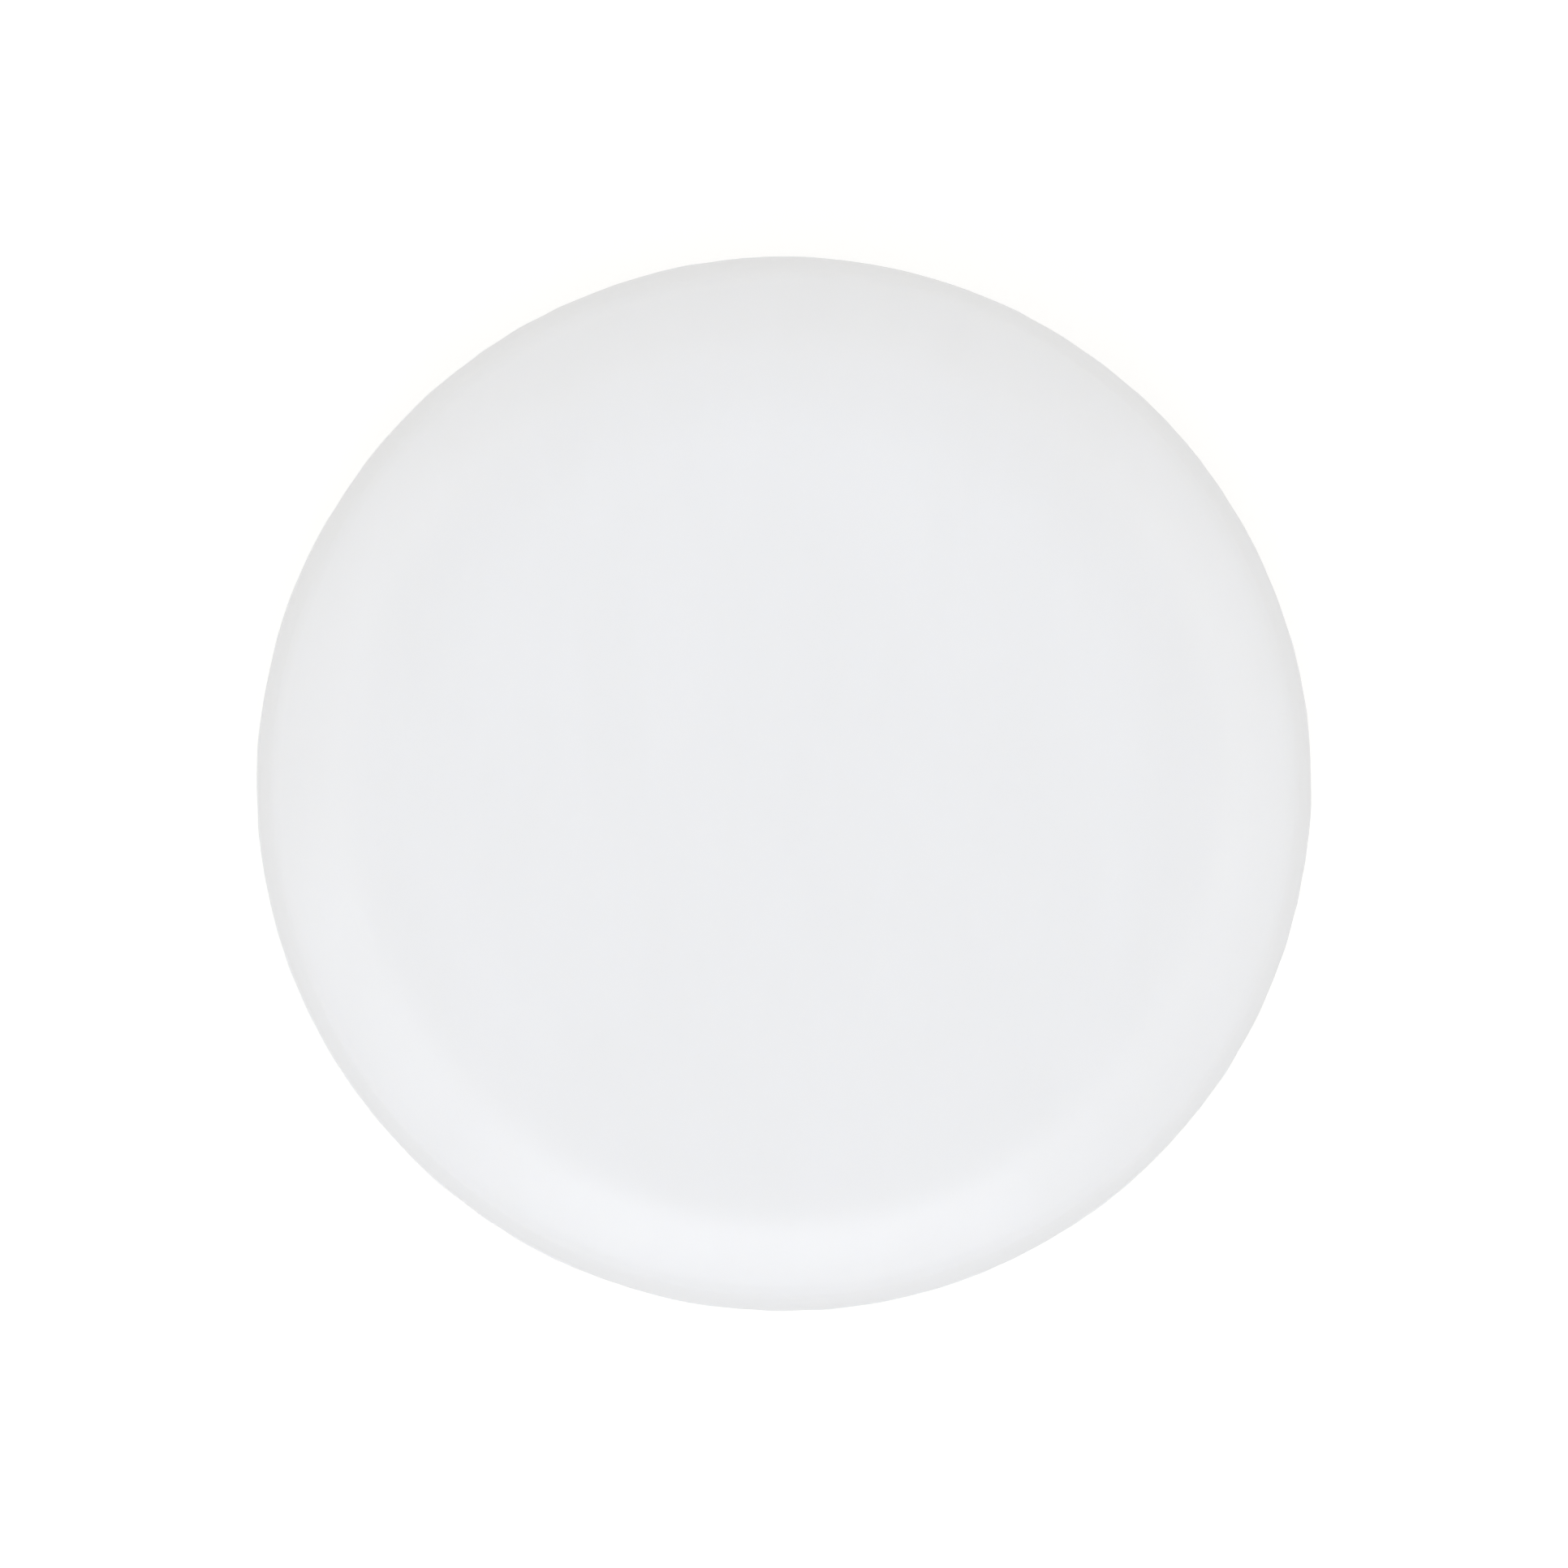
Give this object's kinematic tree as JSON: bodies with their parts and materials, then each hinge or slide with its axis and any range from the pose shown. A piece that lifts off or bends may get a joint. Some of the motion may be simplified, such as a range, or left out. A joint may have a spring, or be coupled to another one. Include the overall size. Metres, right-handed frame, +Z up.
{
  "type": "shaving soap puck",
  "caption": "Round white cake of hard shaving soap with flat middles, sloping rounded shoulders and a fine parting line round its side, for lathering with a brush.",
  "frame": {"origin": "centre of the resting face, on the puck's axis of revolution", "axes": "+Z up along the axis of revolution; X and Y are free, because the puck is round"},
  "size_m": [0.072, 0.072, 0.025],
  "materials": {
    "soap": "smooth milled hard soap: satin, faintly waxy and slightly translucent, off-white with a cool cast"
  },
  "bodies": {
    "root": {"soap_puck": "soap"}
  },
  "joints": []
}
